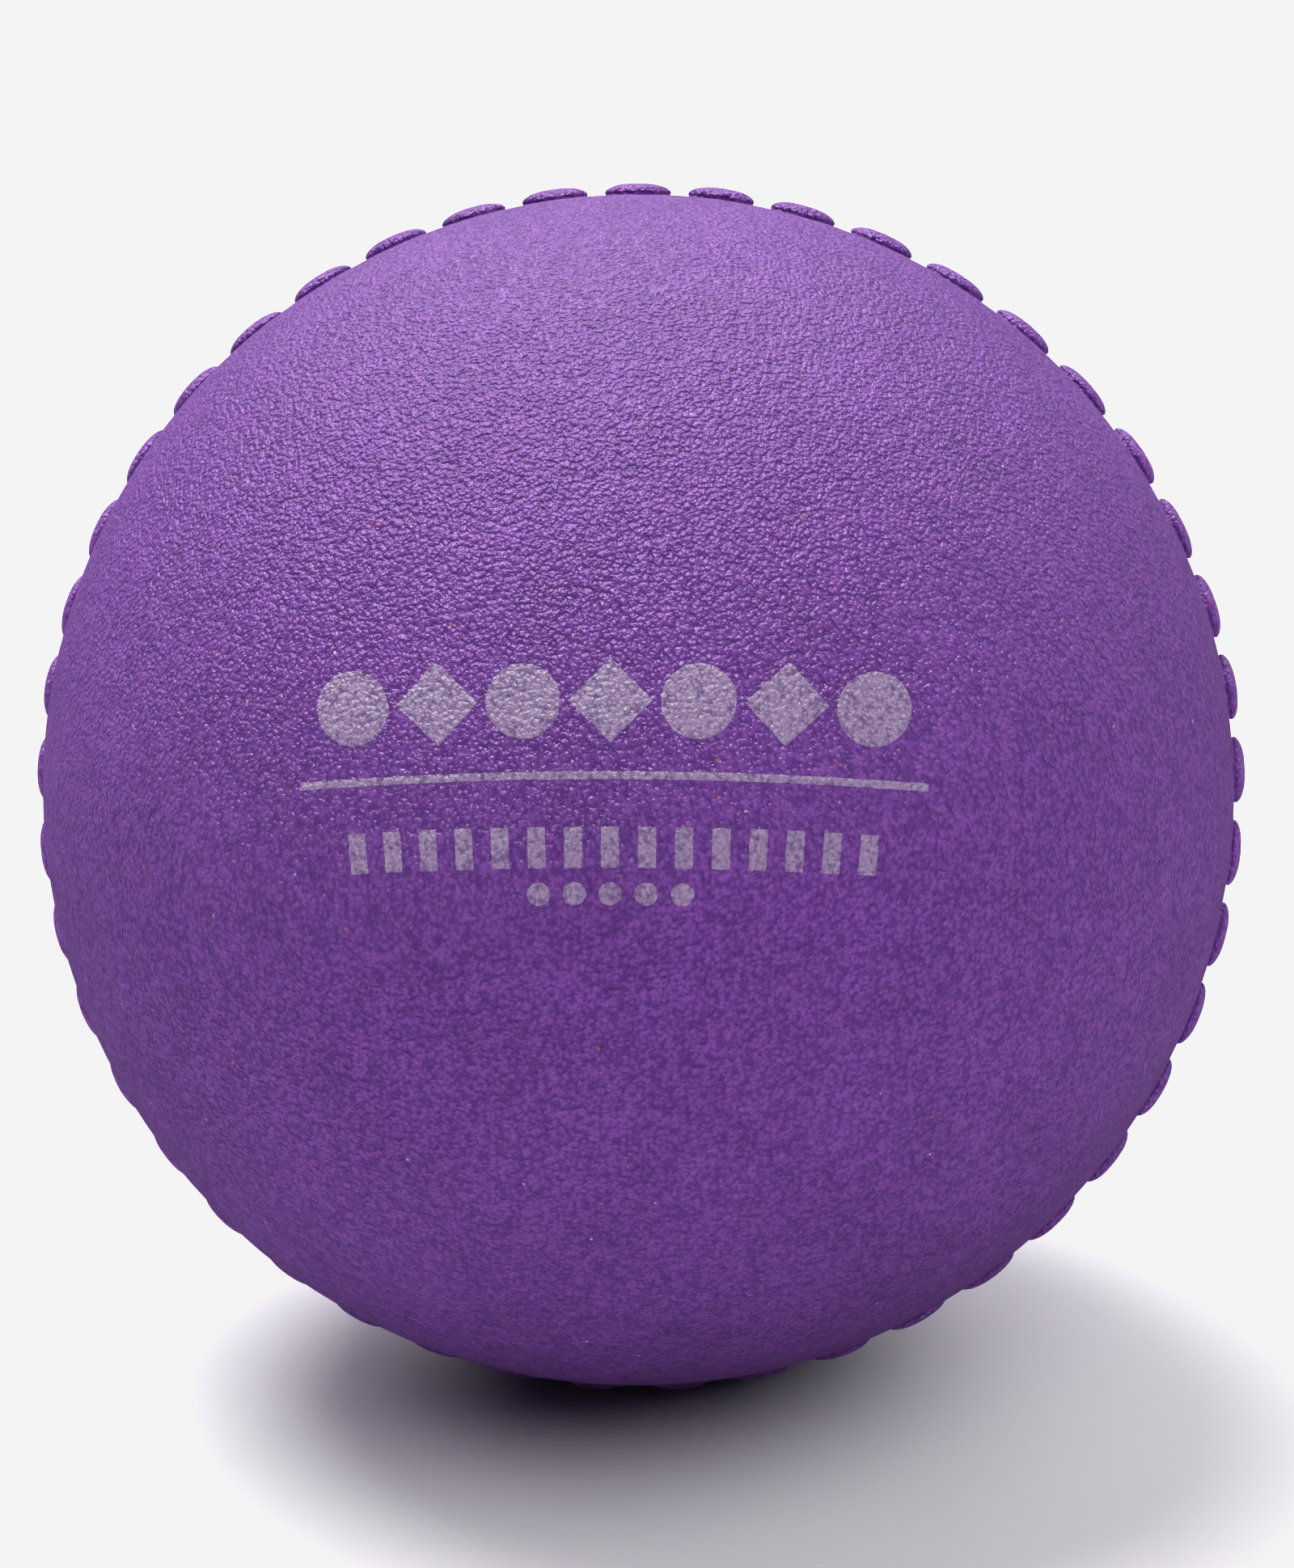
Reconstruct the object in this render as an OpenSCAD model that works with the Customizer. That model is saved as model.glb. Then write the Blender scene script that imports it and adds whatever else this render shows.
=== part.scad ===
// A soft moulded foam play ball: a foam core inside two bonded half shells, with a ring of raised
// grip discs around the joint and a plain printed mark on the front half.
// The ball lies at rest: its rear half touches the floor and the two lowest discs stop it rolling.
// The origin is the ball's centre. +Z is up, and the printed half faces -Y and leans back a little.

/* [Ball] */
// Diameter of the smooth ball, without its discs
ball_d = 150; // [125:1:220]
// Thickness of the dense foam shell around the core
shell_t = 9; // [6:0.5:20]
// Gap between the core and the shells, filled by their bond
core_gap = 0.1; // [0.05:0.05:0.4]
// Thickness of the bond line between the half shells
bond_t = 0.8; // [0.4:0.1:2]
// How far the bond line lies below the ball's surface
bond_recess = 0.5; // [0.2:0.1:0.8]

/* [Grip discs] */
// Number of discs around the joint, odd so that one is at the top and none is at the very bottom
disc_count = 45; // [25:2:53]
// Diameter of a disc
disc_d = 8.4; // [6:0.1:10.2]
// Height of a disc above the ball's surface
disc_h = 1.6; // [0.8:0.1:2.4]
// Radius of a disc's rounded edge
disc_edge_r = 1.2; // [0.2:0.1:2]
// Depth of the pocket that a disc is bonded into
pocket_depth = 1.4; // [1:0.1:3]
// Clearance around a disc in its pocket
pocket_gap = 0.05; // [0.02:0.01:0.1]

/* [Printed mark] */
// Thickness of the ink film
ink_t = 0.1; // [0.05:0.05:0.3]
// Length of the thin arched rule
rule_len = 71; // [40:1:90]
// Thickness of the rule
rule_w = 0.9; // [0.6:0.1:3]
// How far the rule's middle stands above its ends
rule_rise = 1.8; // [1:0.1:6]
// Height of the rule's middle above the ball's front point
rule_up = 5.4; // [0:0.2:12]
// Number of shapes in the upper row, round ones and lozenges in turn
upper_count = 7; // [3:2:9]
// Size across a round shape in the upper row
upper_d = 8.4; // [5:0.1:9]
// Size from corner to corner of a lozenge in the upper row
lozenge_size = 9.4; // [5:0.1:10.6]
// Distance from one shape to the next in the upper row
upper_pitch = 9.8; // [9.2:0.1:12]
// Distance from the rule up to the middle of the upper row
upper_gap = 8.3; // [7:0.1:14]
// Number of bars in the lower row
bar_count = 15; // [5:2:21]
// Width of a bar
bar_w = 2; // [0.8:0.1:3]
// Height of a bar
bar_h = 4.6; // [2:0.1:6]
// Distance from one bar to the next
bar_pitch = 4.1; // [3:0.1:5]
// Distance from the rule down to the middle of the bars
bar_gap = 8; // [5:0.1:9.4]
// Number of dots in the bottom row
dot_count = 5; // [1:2:9]
// Diameter of a dot
dot_d = 2.6; // [1:0.1:3.6]
// Distance from one dot to the next
dot_pitch = 4; // [3:0.1:8]
// Distance from the rule down to the middle of the dots
dot_gap = 13.2; // [12.2:0.1:18]

/* [Hidden] */
$fn = 120;
// Segments of the mark's long arcs and of the thin film's spheres, in the preview mesh
arc_fn = 720;
film_fn = 240;
ball_r = ball_d / 2;
shell_inner_r = ball_r - shell_t;
disc_r = disc_d / 2;
disc_pitch = 360 / disc_count;
disc_top = ball_r + disc_h;
edge_centre = disc_top - disc_edge_r;
pocket_floor = ball_r - pocket_depth;
// The ball leans back until its rear half and the rounded edges of the two lowest discs are level.
flat_r = disc_r - disc_edge_r;
disc_lean = acos((ball_r - disc_edge_r) / norm([edge_centre, flat_r])) + atan(flat_r / edge_centre);
rest_lean = acos(cos(disc_lean) / cos(disc_pitch / 2));
// Every row of the mark follows an arc about one centre, straight below the rule.
rule_r = (pow(rule_len / 2, 2) + pow(rule_rise, 2)) / (2 * rule_rise);

// Lays down a ball that is built with its front point along +Z and its top disc along +Y.
module at_rest() {
    rotate([90 - rest_lean, 0, 0]) children();
}

// One child at each disc's place around the joint, pointing outwards.
module around_joint() {
    for (i = [0 : disc_count - 1])
        rotate([0, 0, 90 + i * disc_pitch])
            rotate([0, 90, 0])
                children();
}

// The round pockets that the discs are bonded into.
module pockets() {
    around_joint()
        translate([0, 0, pocket_floor])
            cylinder(h = 2 * pocket_depth, r = disc_r + pocket_gap);
}

// The half of the shell in front of the joint.
module half_shell() {
    difference() {
        sphere(r = ball_r);
        sphere(r = shell_inner_r);
        translate([-ball_d, -ball_d, bond_t / 2 - 2 * ball_d])
            cube(2 * ball_d);
        pockets();
    }
}

// One disc along +Z: a flat seat, a straight wall, a rounded edge and a flat top.
module grip_disc() {
    rotate_extrude() {
        translate([0, pocket_floor])
            square([disc_r, edge_centre - pocket_floor]);
        translate([0, pocket_floor])
            square([flat_r, disc_top - pocket_floor]);
        translate([flat_r, edge_centre])
            intersection() {
                circle(r = disc_edge_r);
                square(disc_edge_r);
            }
    }
}

// One child at each place of a row of the mark, at this distance above the rule.
module row(count, pitch, above) {
    row_r = rule_r + above;
    step = pitch / row_r * 180 / PI;
    for (i = [0 : count - 1])
        translate([0, rule_up - rule_r])
            rotate((i - (count - 1) / 2) * step)
                translate([0, row_r])
                    children();
}

// The thin arched rule, drawn flat.
module rule_outline() {
    intersection() {
        translate([0, rule_up - rule_r])
            difference() {
                circle(r = rule_r + rule_w / 2, $fn = arc_fn);
                circle(r = rule_r - rule_w / 2, $fn = arc_fn);
            }
        translate([-rule_len / 2, rule_up - rule_rise - rule_w])
            square([rule_len, rule_rise + 2 * rule_w]);
    }
}

// The whole mark, drawn flat.
module mark_outline() {
    row((upper_count + 1) / 2, 2 * upper_pitch, upper_gap)
        circle(d = upper_d);
    row((upper_count - 1) / 2, 2 * upper_pitch, upper_gap)
        rotate(45) square(lozenge_size * sqrt(0.5), center = true);
    rule_outline();
    row(bar_count, bar_pitch, -bar_gap)
        square([bar_w, bar_h], center = true);
    row(dot_count, dot_pitch, -dot_gap)
        circle(d = dot_d);
}

module foam_core() {
    color("plum") at_rest() sphere(r = shell_inner_r - core_gap);
}

module front_shell() {
    color("mediumorchid") at_rest() half_shell();
}

module rear_shell() {
    color("mediumorchid") at_rest() mirror([0, 0, 1]) half_shell();
}

module seam_bond() {
    color("indigo") at_rest() difference() {
        rotate_extrude()
            translate([shell_inner_r, -bond_t / 2])
                square([shell_t - bond_recess, bond_t]);
        pockets();
    }
}

module grip_discs() {
    color("darkorchid") at_rest() around_joint() grip_disc();
}

module printed_mark() {
    color("thistle") at_rest() intersection() {
        difference() {
            sphere(r = ball_r + ink_t, $fn = film_fn);
            sphere(r = ball_r, $fn = film_fn);
        }
        linear_extrude(height = ball_d) mark_outline();
    }
}

foam_core();
front_shell();
rear_shell();
seam_bond();
grip_discs();
printed_mark();
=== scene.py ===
"""The looks of a soft moulded foam play ball: two foam half shells bonded round a foam core, a ring of
grip discs on the joint, and a plain printed mark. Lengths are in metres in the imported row's frame."""

import math

import bmesh
import bpy
import numpy as np
from mathutils import Matrix, Vector, noise
from mathutils.geometry import delaunay_2d_cdt


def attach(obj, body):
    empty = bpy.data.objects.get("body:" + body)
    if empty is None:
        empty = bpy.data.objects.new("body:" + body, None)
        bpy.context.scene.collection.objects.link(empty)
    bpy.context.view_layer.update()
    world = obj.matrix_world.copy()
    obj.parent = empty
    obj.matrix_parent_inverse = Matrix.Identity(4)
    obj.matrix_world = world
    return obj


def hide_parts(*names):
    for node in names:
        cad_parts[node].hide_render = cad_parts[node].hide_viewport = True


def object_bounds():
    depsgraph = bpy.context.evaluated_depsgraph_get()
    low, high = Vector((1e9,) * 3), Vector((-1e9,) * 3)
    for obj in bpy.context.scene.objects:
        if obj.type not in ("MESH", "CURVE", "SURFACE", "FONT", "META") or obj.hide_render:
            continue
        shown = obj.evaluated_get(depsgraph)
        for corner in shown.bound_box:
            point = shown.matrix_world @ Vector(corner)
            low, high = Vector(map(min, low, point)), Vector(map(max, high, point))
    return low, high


MM = 0.001
GOLDEN_ANGLE = math.pi * (3 - math.sqrt(5))

# Foam surface: how far it sinks below the true sphere, and over what lengths
LUMP_DEPTH, LUMP_SIZE = 0.13 * MM, 34 * MM
DENT_DEPTH, DENT_SIZE = 0.07 * MM, 12 * MM
CREASE_DEPTH, CREASE_SIZE = 0.045 * MM, 3.4 * MM
PATCH_SIZE = 24 * MM
WARP_REACH, WARP_SIZE = 3.2 * MM, 9 * MM
CONTACT_HEIGHT = 1.2 * MM
LIP_DEPTH, LIP_WIDTH = 0.16 * MM, 0.17 * MM
CORE_LUMP, CORE_LUMP_SIZE = 0.25 * MM, 15 * MM
CORE_DENT, CORE_DENT_SIZE = 0.08 * MM, 3 * MM
BOND_SINK, BOND_SINK_SIZE = 0.12 * MM, 1.3 * MM
BOND_ROUND = 0.22 * MM

# Mesh fineness
SKIN_SPACING = 0.74 * MM
LINER_SPACING = 2.4 * MM
LINER_LOOP = 360
ARC_STEPS = 42
LINE_STEPS = 6
CORE_SUBDIVISIONS = 6
WELD = 2e-6
RIM_OFFSETS = [d * MM for d in (0.08, 0.18, 0.32, 0.52, 0.82, 1.2)]
JOINT_OFFSETS = [d * MM for d in (0.08, 0.2, 0.38, 0.65)]

# Grip discs
DISC_SEGMENTS = 60
DISC_FOOT = 0.1 * MM
DISC_BELLY = 0.22 * MM
DISC_SHOULDER = 3.0 * MM
DISC_SINK = 0.16 * MM
DISC_CROWN = 0.10 * MM
DISC_DENT = 0.07 * MM
DISC_DENT_SIZE = 2.6 * MM
DISC_LEAN = 0.09 * MM
DISC_SQUEEZE = 0.02
DISC_PINCH, DISC_PINCH_SIZE = 0.05 * MM, 1.7 * MM
DISC_SEED = 45

# Ink film
INK_LIFT = 0.045 * MM
INK_BITE = 0.09 * MM
INK_STEP = 0.3 * MM
INK_FRAY = 0.055 * MM
INK_FRAY_SIZE = 0.55 * MM

# Camera: the photograph's viewing angle and framing
CAMERA_AZIMUTH, CAMERA_ELEVATION, CAMERA_ROLL = 2.4, 16.6, 0.6
CAMERA_DISTANCE = 7.9
CAMERA_LENS = 107.5
AIM_RIGHT, AIM_UP = 0.0146, 0.009
SENSOR_WIDTH = 36

# Soft lights: (name, angle round the ball from the front, angle above the floor, strength, spread,
# which of the surface's answers it gives: "matt", "gloss" or "both")
LIGHTS = [
    ("key", 222, 66, 3.7, 40, "both"),
    ("high_gloss", 222, 76, 8.0, 18, "gloss"),
    ("top_gloss", 195, 50, 1.1, 56, "gloss"),
    ("back_left", 225, 38, 0.85, 44, "matt"),
    ("back", 180, 34, 0.8, 44, "matt"),
    ("right_back", 135, 35, 0.6, 44, "both"),
    ("right", 95, 38, 0.4, 44, "both"),
    ("right_front", 45, 50, 0.9, 50, "matt"),
    ("left", 262, 45, 0.3, 44, "both"),
    ("front", 15, 60, 0.5, 50, "matt"),
]
WORLD_STRENGTH = 0.02
# The floor: half its width in metres, and the white that its lit part is held at
FLOOR_HALF = 12.0
FLOOR_WHITE = 0.905

# How far the pieces stay above the CAD model's lowest point
BOX_MARGIN = 1e-6

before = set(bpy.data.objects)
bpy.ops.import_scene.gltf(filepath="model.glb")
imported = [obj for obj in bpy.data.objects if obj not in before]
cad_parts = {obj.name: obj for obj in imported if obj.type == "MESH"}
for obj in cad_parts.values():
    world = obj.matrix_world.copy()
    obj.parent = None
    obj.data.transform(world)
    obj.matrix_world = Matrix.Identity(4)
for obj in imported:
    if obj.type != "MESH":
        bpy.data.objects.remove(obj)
bpy.context.view_layer.update()
cad_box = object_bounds()


# ---------------------------------------------------------------- the frame's own measures

def node_points(name):
    """Every mesh point of a CAD node."""
    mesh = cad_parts[name].data
    co = np.empty(3 * len(mesh.vertices), np.float32)
    mesh.vertices.foreach_get("co", co)
    return co.reshape(-1, 3).astype(float)


def welded(name):
    """A CAD node's mesh with its split points joined."""
    bm = bmesh.new()
    bm.from_mesh(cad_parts[name].data)
    bmesh.ops.remove_doubles(bm, verts=bm.verts, dist=1e-6)
    return bm


def solids(bm):
    """The separate solids of a mesh, each as a list of its points."""
    left, found = dict.fromkeys(bm.verts), []
    while left:
        first = next(iter(left))
        del left[first]
        group, waiting = [first], [first]
        while waiting:
            for edge in waiting.pop().link_edges:
                for v in edge.verts:
                    if v in left:
                        del left[v]
                        group.append(v)
                        waiting.append(v)
        found.append(group)
    return found


def lengths(points):
    return np.linalg.norm(points, axis=1)


def find_axes():
    """Rows: across the ball, up to the top disc, and out of the front half."""
    directions = node_points("grip_discs")
    directions /= lengths(directions)[:, None]
    out = np.linalg.svd(directions, full_matrices=False)[2][2]
    out *= -np.sign(out[1])
    across = np.array([1.0, 0.0, 0.0])
    return np.array([across, np.cross(out, across), out])


AXES = find_axes()


def to_local(points):
    return points @ AXES.T


def to_world(points):
    return points @ AXES


BALL_R = lengths(node_points("rear_shell")).max()
LINER_R = lengths(node_points("front_shell")).min()
CORE_R = lengths(node_points("foam_core")).max()
BOND = to_local(node_points("seam_bond"))
BOND_HALF = np.abs(BOND[:, 2]).max()
BOND_R = np.hypot(BOND[:, 0], BOND[:, 1]).max()
INK_T = lengths(node_points("printed_mark")).max() - BALL_R


def find_discs():
    """The discs' angles round the joint, and their radius, top and seat."""
    bm = welded("grip_discs")
    groups = [to_local(np.array([v.co for v in g], float)) for g in solids(bm)]
    bm.free()
    angles = sorted(math.atan2(*g.mean(axis=0)[[1, 0]]) for g in groups)
    first = groups[0]
    axis = first.mean(axis=0) / np.linalg.norm(first.mean(axis=0))
    along = first @ axis
    radius = lengths(first - along[:, None] * axis).max()
    return np.array(angles), radius, along.max(), along.min()


DISC_ANGLES, DISC_R, DISC_TOP, DISC_SEAT = find_discs()


def find_pocket_radius():
    """The radius of the pockets, from the floor of the first one in the front shell."""
    shell = to_local(node_points("front_shell"))
    angle = DISC_ANGLES[0]
    along = shell @ [math.cos(angle), math.sin(angle), 0.0]
    aside = shell @ [-math.sin(angle), math.cos(angle), 0.0]
    floor = (np.abs(along - DISC_SEAT) < 1e-5) & (np.abs(aside) < 2 * DISC_R)
    return np.hypot(aside[floor], shell[floor, 2]).max()


POCKET_R = find_pocket_radius()
POCKET_MOUTH = math.sqrt(BALL_R ** 2 - POCKET_R ** 2)
PITCH = 2 * math.pi / len(DISC_ANGLES)


# ---------------------------------------------------------------- the foam's uneven surface

def field(points, size, shift=0.0):
    """Smooth noise from -1 to 1 over lengths of that size."""
    scaled = points / size + shift
    return np.array([noise.noise(Vector(p)) for p in scaled])


def smooth(x, low, high):
    t = np.clip((x - low) / (high - low), 0, 1)
    return t * t * (3 - 2 * t)


def skin_drop(points):
    """How far the foam lies below the true sphere, which it never stands proud of."""
    lumps = LUMP_DEPTH * (1 + field(points, LUMP_SIZE, 3.1))
    dents = DENT_DEPTH * (1 + field(points, DENT_SIZE, 7.7))
    warp = np.stack([field(points, WARP_SIZE, s) for s in (11.3, 17.9, 23.1)], axis=1)
    bent = points + warp * WARP_REACH
    ridges = (1 - np.abs(field(bent, CREASE_SIZE, 5.2))) ** 3
    patches = smooth(field(points, PATCH_SIZE, 29.4), -0.15, 0.35)
    creases = CREASE_DEPTH * ridges * (0.25 + 0.75 * patches)
    height = points[:, 2] + BALL_R
    return (lumps + dents + creases) * smooth(height, 0, CONTACT_HEIGHT)


# ---------------------------------------------------------------- meshes

def piece(name, points, faces, sharp_angle=45):
    """A smooth-shaded mesh object."""
    mesh = bpy.data.meshes.new(name)
    points = np.array(points)
    points[:, 2] = np.maximum(points[:, 2], cad_box[0].z + BOX_MARGIN)
    mesh.from_pydata(points.tolist(), [], faces)
    bm = bmesh.new()
    bm.from_mesh(mesh)
    bmesh.ops.remove_doubles(bm, verts=bm.verts, dist=WELD)
    bmesh.ops.recalc_face_normals(bm, faces=bm.faces)
    bm.to_mesh(mesh)
    bm.free()
    mesh.shade_smooth()
    mesh.set_sharp_from_angle(angle=math.radians(sharp_angle))
    obj = bpy.data.objects.new(name, mesh)
    bpy.context.scene.collection.objects.link(obj)
    return obj


def triangles(flat, edges=()):
    """The triangles between flat points, as numbers of those points."""
    made = delaunay_2d_cdt([Vector(p) for p in flat], list(edges), [], 0, 1e-9)
    back = [ids[0] for ids in made[3]]
    return np.array([[back[i] for i in face] for face in made[2]], int)


def loop_edges(start, count):
    return [(start + i, start + (i + 1) % count) for i in range(count)]


class Shape:
    """Points and faces gathered part by part."""

    def __init__(self):
        self.points, self.faces, self.count = [], [], 0

    def add(self, points, faces):
        self.faces += [tuple(int(i) + self.count for i in face) for face in faces]
        self.points.append(np.asarray(points, float))
        self.count += len(points)

    def all_points(self):
        return np.concatenate(self.points)


def disc_frame(angle):
    """The outward and sideways directions of the disc at that angle."""
    out = np.array([math.cos(angle), math.sin(angle), 0.0])
    return out, np.array([-out[1], out[0], 0.0])


def ring_points(angle, radius, turns, along=None):
    """Points round a disc's axis, on the sphere or at a distance along the axis."""
    out, side = disc_frame(angle)
    if along is None:
        along = math.sqrt(BALL_R ** 2 - radius ** 2)
    up = np.array([0.0, 0.0, 1.0])
    return (
        along * out
        + radius * np.cos(turns)[:, None] * side
        + radius * np.sin(turns)[:, None] * up
    )


def spread_points(radius, spacing, lowest):
    """Even points on a dome above that height."""
    count = int(2 * math.pi * radius * (radius - lowest) / (spacing ** 2 * 0.866))
    k = np.arange(count)
    z = radius - (k + 0.5) / count * (radius - lowest)
    wide = np.sqrt(radius ** 2 - z ** 2)
    turn = k * GOLDEN_ANGLE
    return np.stack([wide * np.cos(turn), wide * np.sin(turn), z], axis=1)


def flattened(points, radius):
    """Stereographic view of a dome, which keeps the shapes of small triangles."""
    return points[:, :2] / (radius + points[:, 2])[:, None]


def nearest_disc(points):
    """Each point's distance from the axis of its nearest disc."""
    turn = np.arctan2(points[:, 1], points[:, 0])
    index = np.round((turn - DISC_ANGLES[0]) / PITCH)
    angle = DISC_ANGLES[0] + index * PITCH
    along = points[:, 0] * np.cos(angle) + points[:, 1] * np.sin(angle)
    side = -points[:, 0] * np.sin(angle) + points[:, 1] * np.cos(angle)
    return np.hypot(side, points[:, 2]), side, along


# The arc of a half pocket that is in front of the bond line, from one side to the other
MOUTH_TURN = math.asin(BOND_HALF / POCKET_R)
MOUTH_TURNS = np.linspace(math.pi - MOUTH_TURN, MOUTH_TURN, ARC_STEPS + 1)


def line_points(angle, radius, z, steps):
    """Points on the joint between this disc's pocket and the next one's, ends left out."""
    reach = math.atan2(POCKET_R * math.cos(MOUTH_TURN), POCKET_MOUTH)
    turns = np.linspace(angle + reach, angle + PITCH - reach, steps + 2)[1:-1]
    wide = math.sqrt(radius ** 2 - z ** 2)
    return np.stack([wide * np.cos(turns), wide * np.sin(turns), np.full(steps, z)], axis=1)


def skin_sheet():
    """The outer surface of a half shell, bitten by the pockets, with finer rows along its edges."""
    edge = np.concatenate(
        [
            part
            for a in DISC_ANGLES
            for part in (
                ring_points(a, POCKET_R, MOUTH_TURNS),
                line_points(a, BALL_R, BOND_HALF, LINE_STEPS),
            )
        ]
    )
    rows = []
    for a in DISC_ANGLES:
        for k, offset in enumerate(RIM_OFFSETS):
            step = math.pi / ARC_STEPS
            turns = np.arange(0.5 * (k % 2), ARC_STEPS + 1) * step
            rows.append(ring_points(a, POCKET_R + offset, turns))
        for offset in JOINT_OFFSETS:
            rows.append(line_points(a, BALL_R, BOND_HALF + offset, LINE_STEPS))
    rows = np.concatenate(rows)
    near, side, _ = nearest_disc(rows)
    above = rows[:, 2] - BOND_HALF
    in_cell = np.abs(side) < POCKET_MOUTH * math.tan(PITCH / 2) - 0.03 * MM
    keep = (near > POCKET_R + 0.05 * MM) & (above > 0.05 * MM) & in_cell
    rows = rows[keep]
    field_points = spread_points(BALL_R, SKIN_SPACING, BOND_HALF)
    near, side, _ = nearest_disc(field_points)
    away = (near > POCKET_R + RIM_OFFSETS[-1] + 0.35 * MM)
    away &= field_points[:, 2] > BOND_HALF + JOINT_OFFSETS[-1] + 0.3 * MM
    points = np.concatenate([edge, rows, field_points[away]])
    faces = triangles(flattened(points, BALL_R), loop_edges(0, len(edge)))
    middles = points[faces].mean(axis=1)
    middles *= (BALL_R / lengths(middles))[:, None]
    near, _, _ = nearest_disc(middles)
    return points, faces[(near > POCKET_R) & (middles[:, 2] > BOND_HALF * 0.98)]


def liner_loop():
    turns = np.arange(LINER_LOOP) * 2 * math.pi / LINER_LOOP
    wide = math.sqrt(LINER_R ** 2 - BOND_HALF ** 2)
    flat = np.full(LINER_LOOP, BOND_HALF)
    return np.stack([wide * np.cos(turns), wide * np.sin(turns), flat], axis=1)


def liner_sheet():
    """The inner surface, against the core."""
    dome = spread_points(LINER_R, LINER_SPACING, BOND_HALF + 0.6 * LINER_SPACING)
    points = np.concatenate([liner_loop(), dome])
    return points, triangles(flattened(points, LINER_R), loop_edges(0, LINER_LOOP))


def joint_sheet():
    """The flat face against the bond, cut by the pockets."""
    corner = np.array([math.pi - MOUTH_TURN, MOUTH_TURN])
    edge = []
    for a in DISC_ANGLES:
        top = ring_points(a, POCKET_R, corner)
        floor = ring_points(a, POCKET_R, corner, DISC_SEAT)
        edge += [top[:1], floor[:1], floor.mean(axis=0)[None], floor[1:], top[1:]]
        edge.append(line_points(a, BALL_R, BOND_HALF, LINE_STEPS))
    edge = np.concatenate(edge)
    points = np.concatenate([edge, liner_loop()])
    edges = loop_edges(0, len(edge)) + loop_edges(len(edge), LINER_LOOP)
    faces = triangles(points[:, :2] / BALL_R, edges)
    middles = points[faces].mean(axis=1)
    _, side, along = nearest_disc(middles)
    in_pocket = (np.abs(side) < POCKET_R) & (along > DISC_SEAT)
    in_hole = (faces >= len(edge)).all(axis=1)
    return points, faces[~in_pocket & ~in_hole]


def pocket_sheets():
    """The wall and floor of each half pocket."""
    shape = Shape()
    n = len(MOUTH_TURNS)
    walls = [(i, i + 1, n + i + 1, n + i) for i in range(n - 1)]
    fan = [(0, i, i + 1) for i in range(1, n)]
    for a in DISC_ANGLES:
        top = ring_points(a, POCKET_R, MOUTH_TURNS)
        low = ring_points(a, POCKET_R, MOUTH_TURNS, DISC_SEAT)
        shape.add(np.concatenate([top, low]), walls)
        shape.add(np.concatenate([low[[0, -1]].mean(axis=0)[None], low]), fan)
    return shape.all_points(), shape.faces


def half_shell(name, side):
    """One foam half: skin, pockets, joint face and liner, with an uneven skin and rounded lips."""
    shape = Shape()
    for points, faces in (skin_sheet(), pocket_sheets(), joint_sheet(), liner_sheet()):
        shape.add(points, faces)
    local = shape.all_points()
    near, _, _ = nearest_disc(local)
    rim = np.exp(-(((near - POCKET_R).clip(0) / LIP_WIDTH) ** 2))
    joint = np.exp(-(((local[:, 2] - BOND_HALF) / LIP_WIDTH) ** 2))
    local[:, 2] *= side
    world = to_world(local)
    away = lengths(world)
    outer = smooth(away, DISC_SEAT + 0.3 * MM, BALL_R - 0.2 * MM)
    drop = skin_drop(world) + LIP_DEPTH * np.maximum(rim, joint)
    world *= (1 - drop * outer / away)[:, None]
    return piece(name, world, shape.faces)


def disc_profile():
    """Half section of a disc as (distance from its axis, height): seat, wall, foot, belly, crown."""
    base = math.sqrt(BALL_R ** 2 - DISC_R ** 2)
    belly = base + DISC_BELLY
    flat = DISC_R - DISC_SHOULDER
    shoulder = DISC_TOP - DISC_CROWN
    seat = [(DISC_R * t, DISC_SEAT) for t in (0.3, 0.6, 0.85, 0.965)]
    wall = [
        (DISC_R - 0.03 * MM, DISC_SEAT + 0.12 * MM),
        (DISC_R - 0.02 * MM, DISC_SEAT + 0.6 * MM),
        (DISC_R - DISC_FOOT * 0.5, base - 0.22 * MM),
        (DISC_R - DISC_FOOT, base - 0.02 * MM),
        (DISC_R - DISC_FOOT * 0.7, base + 0.12 * MM),
        (DISC_R - DISC_FOOT * 0.2, base + 0.26 * MM),
    ]
    edge = [
        (flat + DISC_SHOULDER * math.cos(t), belly + (shoulder - belly) * math.sin(t))
        for t in np.linspace(0, math.pi / 2, 13)
    ]
    crown = [
        (flat * t, shoulder + DISC_CROWN * (1 - t * t)) for t in (0.8, 0.55, 0.28)
    ]
    return seat + wall + edge + crown


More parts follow.
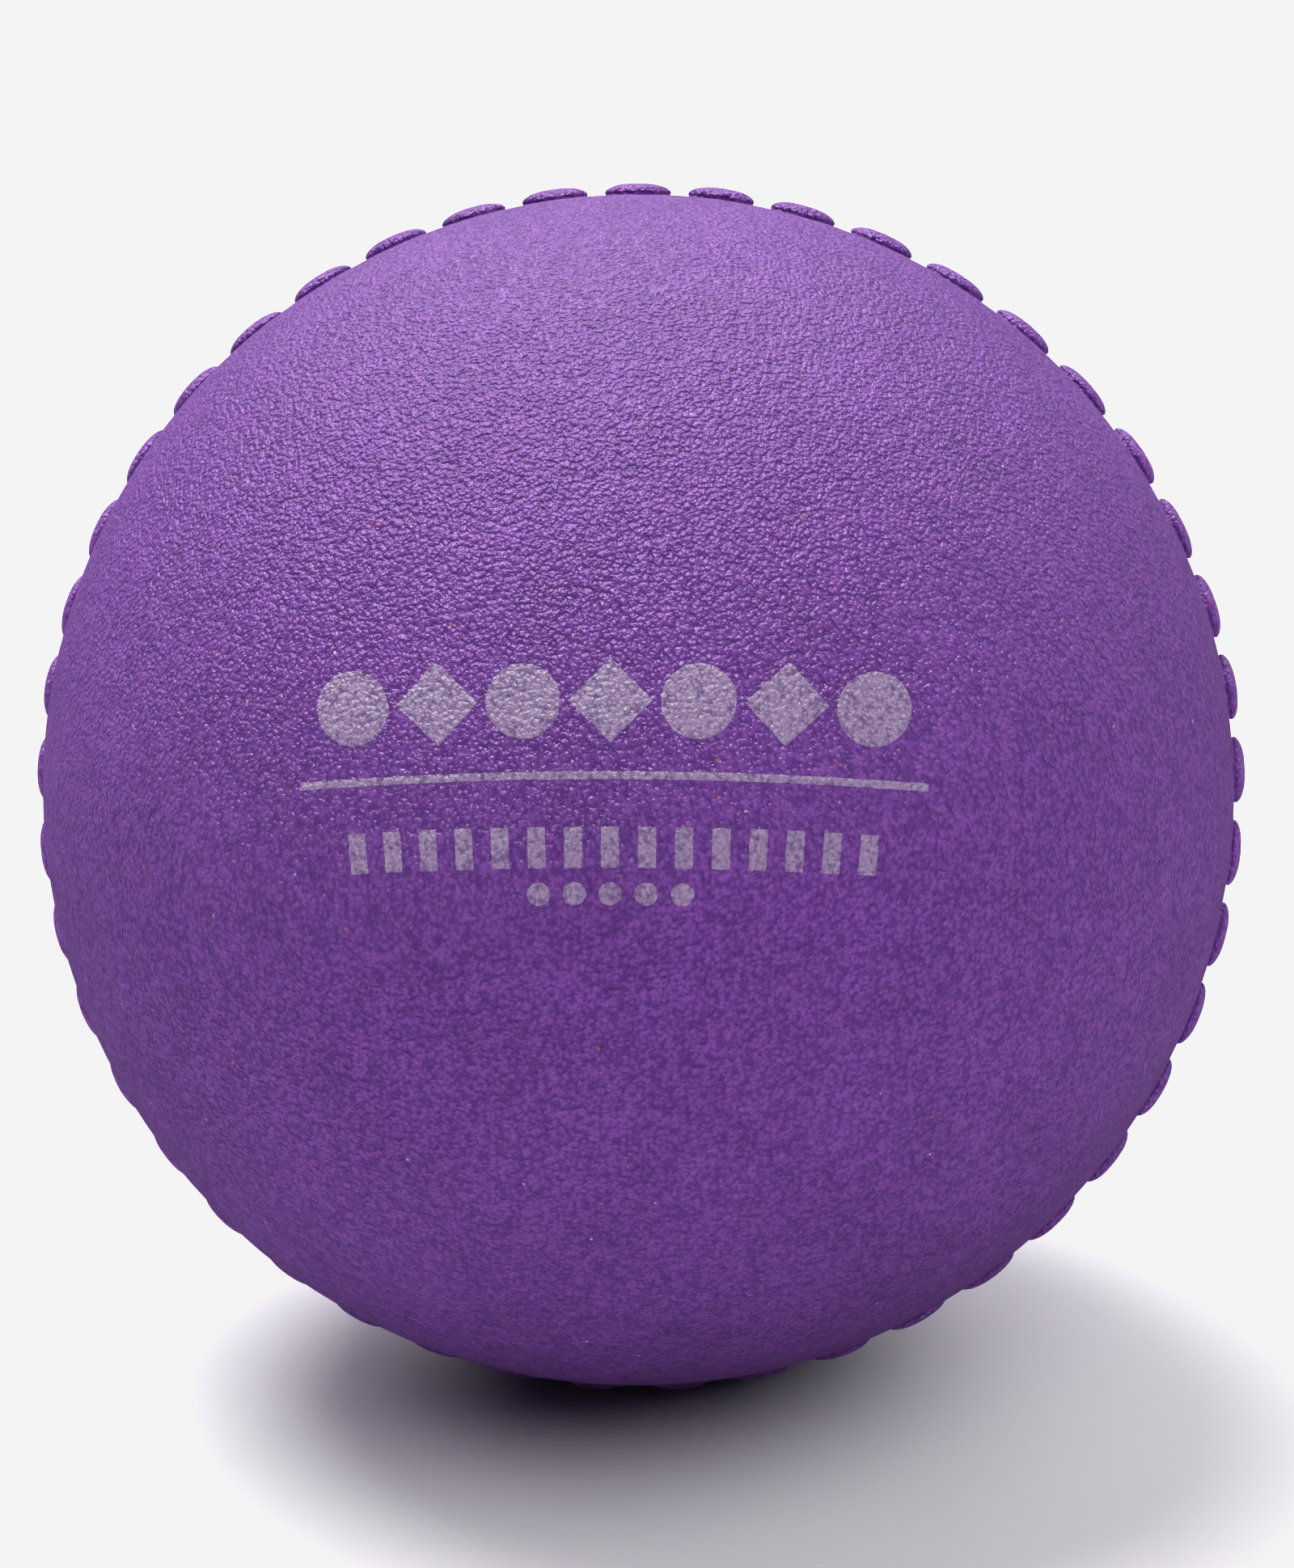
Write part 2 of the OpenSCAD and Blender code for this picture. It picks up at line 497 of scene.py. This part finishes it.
def grip_discs(name):
    """All discs, each turned, tilted and dented a little differently, inside the true ones."""
    profile = np.array(disc_profile())
    rows, n = len(profile), DISC_SEGMENTS
    faces = [
        (r * n + i, r * n + (i + 1) % n, (r + 1) * n + (i + 1) % n, (r + 1) * n + i)
        for r in range(rows - 1)
        for i in range(n)
    ]
    faces += [(rows * n, (i + 1) % n, i) for i in range(n)]
    faces += [(rows * n + 1, (rows - 1) * n + i, (rows - 1) * n + (i + 1) % n) for i in range(n)]
    rng = np.random.default_rng(DISC_SEED)
    shape = Shape()
    turns = np.arange(n) * 2 * math.pi / n
    above = smooth(profile[:, 1], BALL_R - 0.3 * MM, DISC_TOP)
    for a in DISC_ANGLES:
        sink = DISC_SINK + rng.uniform(-0.06, 0.1) * MM
        lean = rng.uniform(0.0, DISC_LEAN)
        toward = rng.uniform(0, 2 * math.pi)
        squeeze = rng.uniform(0.0, DISC_SQUEEZE)
        rings = []
        for (radius, height), up in zip(profile, above):
            ring = ring_points(a, radius, turns, height)
            tilt = lean * (1 - np.cos(turns - toward) * radius / DISC_R) / 2
            low = up * (sink + tilt)
            slim = 1 - squeeze * up * np.cos(turns - toward) ** 2
            out, _ = disc_frame(a)
            axis = ring @ out
            ring = axis[:, None] * out + (ring - axis[:, None] * out) * slim[:, None]
            rings.append(ring - low[:, None] * out)
        out, _ = disc_frame(a)
        rings.append(np.array([DISC_SEAT * out, rings[-1].mean(axis=0)]))
        rings[-1][1] += DISC_CROWN * 0.05 * out
        local = np.concatenate(rings)
        world = to_world(local)
        outward = to_world(out)
        dent = DISC_DENT * (1 + field(world, DISC_DENT_SIZE, 41.0)) / 2
        lift = smooth(local @ out, BALL_R - 0.2 * MM, BALL_R + 0.8 * MM)
        along = world @ outward
        aside = world - along[:, None] * outward
        world = world - (dent * lift)[:, None] * outward
        pinch = DISC_PINCH * (1 + field(world, DISC_PINCH_SIZE, 53.0)) / 2
        rim = lengths(aside).clip(1e-9)
        visible = smooth(along, BALL_R - 0.6 * MM, BALL_R)
        world -= aside * (pinch * visible * smooth(rim, 0.5 * DISC_R, DISC_R) / rim)[:, None]
        shape.add(world, faces)
    return piece(name, shape.all_points(), shape.faces, 60)


def bond_ring(name):
    """The cured bead between the halves, shallow between the discs and cut back under each one."""
    steps_per_disc = 32
    edge = math.asin(POCKET_R / BALL_R)
    inner_turns = np.linspace(-edge, edge, 19)
    outer_turns = np.linspace(edge, PITCH - edge, steps_per_disc - 18)[1:-1]
    turns, reach = [], []
    for a in DISC_ANGLES:
        for t in inner_turns:
            turns.append(a + t)
            reach.append(DISC_SEAT / math.cos(t))
        for t in outer_turns:
            turns.append(a + t)
            reach.append(BOND_R)
    turns, reach = np.array(turns), np.array(reach)
    across = np.linspace(-1, 1, 9)
    section = [(0.0, s) for s in (1, 0.5, 0, -0.5, -1)] + [(1.0, s) for s in across]
    n, m = len(turns), len(section)
    points = []
    for part, s in section:
        inner = LINER_R + 0.02 * MM
        round_off = BOND_ROUND * abs(s) ** 4 if part else 0.0
        radius = inner + (reach - inner) * part - round_off
        flat = np.full(n, s * BOND_HALF)
        points.append(np.stack([radius * np.cos(turns), radius * np.sin(turns), flat], axis=1))
    local = np.concatenate(points)
    world = to_world(local)
    sunk = BOND_SINK * (1 + field(world, BOND_SINK_SIZE, 61.0)) / 2
    away = lengths(world)
    world *= (1 - sunk * smooth(away, DISC_SEAT - 1 * MM, BOND_R) / away)[:, None]
    faces = [
        (j * n + i, j * n + (i + 1) % n, (j + 1) % m * n + (i + 1) % n, (j + 1) % m * n + i)
        for j in range(m)
        for i in range(n)
    ]
    return piece(name, world, faces, 50)


def foam_core(name):
    """The soft inner ball, a little lumpy."""
    bm = bmesh.new()
    bmesh.ops.create_icosphere(bm, subdivisions=CORE_SUBDIVISIONS, radius=CORE_R)
    points = np.array([v.co for v in bm.verts])
    sunk = CORE_LUMP * (1 + field(points, CORE_LUMP_SIZE, 71.0))
    sunk += CORE_DENT * (1 + field(points, CORE_DENT_SIZE, 83.0))
    points *= (1 - sunk / lengths(points))[:, None]
    faces = [tuple(v.index for v in f.verts) for f in bm.faces]
    bm.free()
    return piece(name, points, faces)


# ---------------------------------------------------------------- the printed mark

def mark_outlines():
    """The outline of each printed shape, seen along the ball's front axis, in order round it."""
    bm = welded("printed_mark")
    found = []
    top = {f for f in bm.faces if min(v.co.length for v in f.verts) > BALL_R + 0.7 * INK_T}
    for group in solids(bm):
        after = {}
        for v in group:
            for edge in v.link_edges:
                if sum(f in top for f in edge.link_faces) == 1:
                    a, b = edge.verts
                    after.setdefault(a, set()).add(b)
                    after.setdefault(b, set()).add(a)
        start = min(after, key=lambda v: (v.co.x, v.co.z))
        loop, last, here = [start], None, start
        while True:
            following = [v for v in after[here] if v is not last]
            chosen = min(following, key=lambda v: (v.co.x, v.co.z)) if last is None else following[0]
            last, here = here, chosen
            if here is start:
                break
            loop.append(here)
        found.append(to_local(np.array([v.co for v in loop], float))[:, :2])
    bm.free()
    return sorted(found, key=lambda o: (round(o[:, 1].mean(), 5), o[:, 0].mean()))


def resampled(loop, step):
    """The same closed outline with points at even steps."""
    closed = np.concatenate([loop, loop[:1]])
    run = np.concatenate([[0], np.cumsum(lengths(np.diff(closed, axis=0)))])
    count = max(12, int(run[-1] / step))
    at = np.arange(count) * run[-1] / count
    return np.stack([np.interp(at, run, closed[:, i]) for i in (0, 1)], axis=1)


def inside(points, loop):
    """Which points lie inside a closed outline."""
    x, y = points[:, :1], points[:, 1:]
    ax, ay = loop[:, 0], loop[:, 1]
    bx, by = np.roll(ax, -1), np.roll(ay, -1)
    with np.errstate(divide="ignore", invalid="ignore"):
        cross = (ay > y) != (by > y)
        hit = cross & (x < (bx - ax) * (y - ay) / (by - ay) + ax)
    return hit.sum(axis=1) % 2 == 1


def on_ball(flat, lift):
    """Flat points laid on the foam's uneven surface, at a height above it."""
    z = np.sqrt(BALL_R ** 2 - (flat ** 2).sum(axis=1))
    world = to_world(np.column_stack([flat, z]))
    radius = BALL_R - skin_drop(world) + lift
    return world * (radius / BALL_R)[:, None]


def ink_film(name):
    """The ink of each shape, with a slightly frayed edge, following the foam under it."""
    shape = Shape()
    for outline in mark_outlines():
        loop = resampled(outline, INK_STEP * 0.7)
        ahead, behind = np.roll(loop, -1, axis=0), np.roll(loop, 1, axis=0)
        run = ahead - behind
        normal = np.stack([run[:, 1], -run[:, 0]], axis=1) / lengths(run)[:, None]
        depth = np.column_stack([loop, np.zeros(len(loop))])
        fray = INK_FRAY * field(depth, INK_FRAY_SIZE, 5.5)
        loop = loop + normal * fray[:, None]
        low, high = loop.min(axis=0), loop.max(axis=0)
        gx, gy = np.meshgrid(
            np.arange(low[0], high[0], INK_STEP), np.arange(low[1], high[1], INK_STEP)
        )
        gx = gx + (np.arange(len(gy)) % 2)[:, None] * INK_STEP / 2
        grid = np.column_stack([gx.ravel(), gy.ravel()])
        grid = grid[inside(grid, loop)]
        if len(grid):
            gap = np.min(np.hypot(*(grid[:, None, :] - loop[None]).transpose(2, 0, 1)), axis=1)
            grid = grid[gap > 0.4 * INK_STEP]
        flat = np.concatenate([loop, grid])
        faces = triangles(flat / BALL_R, loop_edges(0, len(loop)))
        faces = faces[inside(flat[faces].mean(axis=1), loop)]
        m, n = len(loop), len(flat)
        edge_dip = np.where(np.arange(n) < m, 0.3, 1.0)
        top = on_ball(flat, INK_LIFT * edge_dip)
        low = on_ball(flat, -INK_BITE)
        sides = [(i, (i + 1) % m, n + (i + 1) % m, n + i) for i in range(m)]
        under = [tuple(n + i for i in face[::-1]) for face in faces]
        shape.add(np.concatenate([top, low]), [tuple(f) for f in faces] + under + sides)
    return piece(name, shape.all_points(), shape.faces, 70)


# ---------------------------------------------------------------- materials

class Graph:
    """A material's nodes, added one by one and joined by their inputs."""

    def __init__(self, name):
        self.material = bpy.data.materials.new(name)
        self.material.use_nodes = True
        self.tree = self.material.node_tree
        self.tree.nodes.clear()

    def add(self, kind, inputs=None, **settings):
        node = self.tree.nodes.new(kind)
        for key, value in settings.items():
            setattr(node, key, value)
        for key, value in (inputs or {}).items():
            if isinstance(value, bpy.types.NodeSocket):
                self.tree.links.new(value, node.inputs[key])
            else:
                node.inputs[key].default_value = value
        return node

    def math(self, operation, a, b=0.0, c=0.0):
        return self.add("ShaderNodeMath", {0: a, 1: b, 2: c}, operation=operation).outputs[0]

    def mix(self, amount, a, b):
        return self.add("ShaderNodeMix", {0: amount, 6: a, 7: b}, data_type="RGBA").outputs[2]

    def span(self, value, low, high, to_low=0.0, to_high=1.0):
        inputs = {0: value, 1: low, 2: high, 3: to_low, 4: to_high}
        return self.add("ShaderNodeMapRange", inputs, interpolation_type="SMOOTHSTEP").outputs[0]

    def noise(self, vector, size, detail=2.0, rough=0.5, warp=0.0):
        """Noise from 0 to 1 over lengths of that size in millimetres."""
        inputs = {"Vector": vector, "Scale": 1 / size, "Detail": detail}
        inputs |= {"Roughness": rough, "Distortion": warp}
        return self.add("ShaderNodeTexNoise", inputs)

    def cells(self, vector, size, feature="F1"):
        """Distances inside cells of that size in millimetres."""
        return self.add("ShaderNodeTexVoronoi", {"Vector": vector, "Scale": 1 / size}, feature=feature)


def millimetres(g):
    coord = g.add("ShaderNodeTexCoord").outputs["Object"]
    return g.add("ShaderNodeVectorMath", {0: coord, "Scale": 1000.0}, operation="SCALE").outputs[0]


def foam_grain(g, at):
    """The moulded foam's grain, as (height, pits): fine pebbles with faint creases and clumps; pits is
    low in the grain's valleys and high on its tops, and also sets the painted shade of the foam's
    colour.
    """
    jog = g.noise(at, 0.8, 1.0).outputs["Color"]
    shifted = {0: jog, 1: (0.5, 0.5, 0.5), 2: at}
    bent = g.add("ShaderNodeVectorMath", shifted, operation="MULTIPLY_ADD").outputs[0]
    pebble = g.cells(bent, 0.66, "SMOOTH_F1")
    pebble.inputs["Smoothness"].default_value = 0.2
    rough = g.noise(at, 0.42, 1.0, 0.6).outputs[0]
    ripple = g.noise(at, 1.9, 2.0, 0.55, 1.1).outputs[0]
    ridge = g.math("ABSOLUTE", g.math("SUBTRACT", ripple, 0.5))
    patch = g.span(g.noise(at, 17.0, 2.0).outputs[0], 0.42, 0.66)
    crease = g.math("MULTIPLY", g.math("MULTIPLY", ridge, 0.25), g.math("MULTIPLY_ADD", patch, 0.7, 0.3))
    bumps = g.math("SUBTRACT", 1.0, pebble.outputs["Distance"])
    height = g.math("MULTIPLY_ADD", bumps, 0.85, g.math("MULTIPLY", rough, 0.95))
    height = g.math("ADD", height, crease)
    clump = g.noise(at, 1.5, 2.0, 0.6).outputs[0]
    pits = g.math("MULTIPLY_ADD", clump, 0.35, g.math("MULTIPLY", rough, 0.3))
    return height, g.math("MULTIPLY_ADD", bumps, 0.4, pits)


def foam_colour(g, at, pits, deep, pale):
    """Purple foam with painted shade: darker in its pits and paler on the grain's tops, following the
    relief, and unevenly clumped; cloudy over larger lengths, with a few stray specks.
    """
    # painted shade: the grain's low places get the deep colour and its high places the pale one, mixed
    # with clumps that vary at random
    pit_shade_mix = g.span(pits, 0.38, 0.72)
    colour = g.mix(pit_shade_mix, deep, pale)
    cloud = g.span(g.noise(at, 13.0, 3.0, 0.6).outputs[0], 0.3, 0.7, 0.94, 1.06)
    hue = g.span(g.noise(at, 3.0, 2.0, 0.6).outputs[0], 0.3, 0.7, 0.497, 0.504)
    return g.add("ShaderNodeHueSaturation", {"Hue": hue, "Value": cloud, "Color": colour}).outputs[0]


def with_specks(g, at, colour):
    """The colour with sparse dark, reddish and pale specks."""
    cell = g.cells(at, 1.5)
    parts = g.add("ShaderNodeSeparateColor", {0: cell.outputs["Color"]}).outputs
    chosen = g.math("GREATER_THAN", parts[0], 0.95)
    small = g.math("LESS_THAN", cell.outputs["Distance"], 0.14)
    ramp = g.add("ShaderNodeValToRGB", {0: parts[1]})
    ramp.color_ramp.interpolation = "CONSTANT"
    stops = ramp.color_ramp.elements
    stops[0].position, stops[0].color = 0.0, (0.035, 0.012, 0.07, 1)
    stops[1].position, stops[1].color = 0.45, (0.5, 0.13, 0.08, 1)
    third = stops.new(0.72)
    third.color = (0.55, 0.45, 0.6, 1)
    amount = g.math("MULTIPLY", g.math("MULTIPLY", chosen, small), 0.75)
    return g.mix(amount, colour, ramp.outputs[0])


def foam_material(name, deep, pale, bump=0.46, specks=True):
    """Moulded foam: grained, a little glossy on its grain and worn duller in patches."""
    g = Graph(name)
    at = millimetres(g)
    height, pits = foam_grain(g, at)
    # the colour holds painted shade in the grain's pits
    colour = foam_colour(g, at, pits, deep, pale)
    if specks:
        colour = with_specks(g, at, colour)
    wear = g.noise(at, 3.1, 3.0, 0.65).outputs[0]
    rough = g.span(wear, 0.3, 0.7, 0.38, 0.5)
    relief = g.add("ShaderNodeBump", {"Strength": 1.0, "Distance": bump * MM, "Height": height})
    shader = g.add(
        "ShaderNodeBsdfPrincipled",
        {"Base Color": colour, "Roughness": rough, "Normal": relief.outputs[0]},
    )
    shader.inputs["IOR"].default_value = 1.25
    shader.inputs["Specular IOR Level"].default_value = 1.0
    shader.inputs["Specular Tint"].default_value = (0.9, 0.55, 1.0, 1)
    shader.inputs["Sheen Weight"].default_value = 0.09
    shader.inputs["Sheen Roughness"].default_value = 0.5
    shader.inputs["Sheen Tint"].default_value = (0.75, 0.42, 0.95, 1)
    g.add("ShaderNodeOutputMaterial", {0: shader.outputs[0]})
    return g.material


def ink_material(name, ink_dark, ink_pale, deep, pale):
    """Thin matt ink that misses the deepest pits of the foam under it."""
    g = Graph(name)
    at = millimetres(g)
    height, pits = foam_grain(g, at)
    # the foam that shows through the ink, with the same painted shade in its pits
    foam = foam_colour(g, at, pits, deep, pale)
    blotch = g.noise(at, 0.5, 3.0, 0.65).outputs[0]
    ink = g.mix(g.span(blotch, 0.3, 0.7), ink_dark, ink_pale)
    cover = g.span(g.math("ADD", pits, g.math("MULTIPLY", blotch, 0.3)), 0.46, 0.72, 0.3, 0.95)
    colour = g.mix(cover, foam, ink)
    relief = g.add("ShaderNodeBump", {"Strength": 1.0, "Distance": 0.4 * MM, "Height": height})
    rough = g.span(blotch, 0.3, 0.7, 0.5, 0.66)
    shader = g.add(
        "ShaderNodeBsdfPrincipled",
        {"Base Color": colour, "Roughness": rough, "Normal": relief.outputs[0]},
    )
    g.add("ShaderNodeOutputMaterial", {0: shader.outputs[0]})
    return g.material


def floor_material(name):
    """A plain pale studio sheet with the faintest mottling."""
    g = Graph(name)
    coord = g.add("ShaderNodeTexCoord").outputs["Object"]
    soft = g.noise(coord, 0.35, 3.0, 0.5).outputs[0]
    colour = g.mix(g.span(soft, 0.3, 0.7), (0.86, 0.86, 0.86, 1), (0.88, 0.88, 0.88, 1))
    grain = g.noise(coord, 0.002, 2.0, 0.5).outputs[0]
    relief = g.add("ShaderNodeBump", {"Strength": 0.1, "Distance": 0.05 * MM, "Height": grain})
    rough = g.span(soft, 0.3, 0.7, 0.8, 0.9)
    shader = g.add(
        "ShaderNodeBsdfPrincipled",
        {"Base Color": colour, "Roughness": rough, "Normal": relief.outputs[0]},
    )
    shader.inputs["Specular IOR Level"].default_value = 0.1
    g.add("ShaderNodeOutputMaterial", {0: shader.outputs[0]})
    return g.material


# ---------------------------------------------------------------- the pieces

# In each foam pair the deep colour goes where the grain is low, as painted shade in its pits, and the
# pale one on the grain's tops
FOAM_DEEP, FOAM_PALE = (0.1, 0.027, 0.208, 1), (0.206, 0.064, 0.364, 1)
# painted light: the discs' colours are a lighter copy of the shell foam's, brightening the discs' shaded
# sides
LIT_DISC_DEEP, LIT_DISC_PALE = (0.12, 0.034, 0.24, 1), (0.25, 0.078, 0.42, 1)
CORE_DEEP, CORE_PALE = (0.10, 0.034, 0.19, 1), (0.19, 0.075, 0.33, 1)
BOND_DEEP, BOND_PALE = (0.05, 0.018, 0.10, 1), (0.10, 0.034, 0.19, 1)
INK_DARK, INK_PALE = (0.235, 0.155, 0.31, 1), (0.385, 0.275, 0.46, 1)


def dress(obj, node, material):
    """Makes a piece stand for its CAD node, ride on the body and wear its material."""
    obj.data.materials.append(material)
    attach(obj, "root")
    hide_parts(node)
    return obj


shell_foam = foam_material("shell_foam", FOAM_DEEP, FOAM_PALE)
# painted light: the discs wear a lighter copy of the shell foam
disc_foam = foam_material("disc_foam", LIT_DISC_DEEP, LIT_DISC_PALE)
core_foam = foam_material("core_foam", CORE_DEEP, CORE_PALE, 0.3, False)
bond = foam_material("bond", BOND_DEEP, BOND_PALE, 0.08, False)
ink = ink_material("ink", INK_DARK, INK_PALE, FOAM_DEEP, FOAM_PALE)

front = dress(half_shell("front_half", 1), "front_shell", shell_foam)
rear = dress(half_shell("rear_half", -1), "rear_shell", shell_foam)
discs = dress(grip_discs("disc_ring"), "grip_discs", disc_foam)
core = dress(foam_core("core"), "foam_core", core_foam)
seam = dress(bond_ring("bond_line"), "seam_bond", bond)
mark = dress(ink_film("ink_mark"), "printed_mark", ink)


# ---------------------------------------------------------------- the stage

def make_floor():
    """A wide sheet under the ball, level with the CAD model's lowest point."""
    bm = bmesh.new()
    bmesh.ops.create_grid(bm, x_segments=8, y_segments=8, size=FLOOR_HALF)
    mesh = bpy.data.meshes.new("floor")
    bm.to_mesh(mesh)
    bm.free()
    floor = bpy.data.objects.new("floor", mesh)
    floor.location = (0, 0, cad_box[0].z)
    floor.data.materials.append(floor_material("floor_sheet"))
    bpy.context.scene.collection.objects.link(floor)
    floor.visible_glossy = False


def direction(around, above):
    """The direction at that angle round the ball, from the front, and above the floor."""
    turn, rise = math.radians(around), math.radians(above)
    return Vector((math.sin(turn) * math.cos(rise), -math.cos(turn) * math.cos(rise), math.sin(rise)))


def make_sun(name, around, above, strength, spread, part):
    """A soft light from that direction, even over the whole floor."""
    data = bpy.data.lights.new(name, "SUN")
    data.angle, data.energy = math.radians(spread), strength
    light = bpy.data.objects.new(name, data)
    light.rotation_euler = direction(around, above).to_track_quat("Z", "Y").to_euler()
    light.visible_glossy = part != "matt"
    light.visible_diffuse = part != "gloss"
    bpy.context.scene.collection.objects.link(light)


def make_world(strength):
    world = bpy.data.worlds.new("studio")
    world.use_nodes = True
    back = world.node_tree.nodes["Background"]
    back.inputs["Color"].default_value = (1, 1, 1, 1)
    back.inputs["Strength"].default_value = strength
    bpy.context.scene.world = world


def make_camera():
    """The photograph's viewing angle: a long lens, a little above the ball."""
    back = direction(CAMERA_AZIMUTH, CAMERA_ELEVATION)
    level = back.to_track_quat("Z", "Y").to_matrix()
    right, up = level.col[0], level.col[1]
    aim = (right * AIM_RIGHT + up * AIM_UP) * BALL_R
    data = bpy.data.cameras.new("camera")
    data.lens, data.sensor_width = CAMERA_LENS, SENSOR_WIDTH
    camera = bpy.data.objects.new("camera", data)
    place = Matrix.Translation(aim + back * CAMERA_DISTANCE * BALL_R)
    roll = Matrix.Rotation(-math.radians(CAMERA_ROLL), 4, "Z")
    camera.matrix_world = place @ level.to_4x4() @ roll
    bpy.context.scene.collection.objects.link(camera)
    bpy.context.scene.camera = camera


def set_view():
    """Plain colours, with the floor's white held at the pale grey of the photograph's background."""
    view = bpy.context.scene.view_settings
    view.view_transform = "Standard"
    view.use_curve_mapping = True
    view.curve_mapping.extend = "HORIZONTAL"
    curve = view.curve_mapping.curves[3]
    curve.points.new(FLOOR_WHITE, FLOOR_WHITE)
    curve.points[-1].location = (1.0, FLOOR_WHITE)
    for point in curve.points:
        point.handle_type = "VECTOR"
    view.curve_mapping.update()


make_floor()
for light in LIGHTS:
    make_sun(*light)
make_world(WORLD_STRENGTH)
make_camera()
set_view()

bpy.context.view_layer.update()
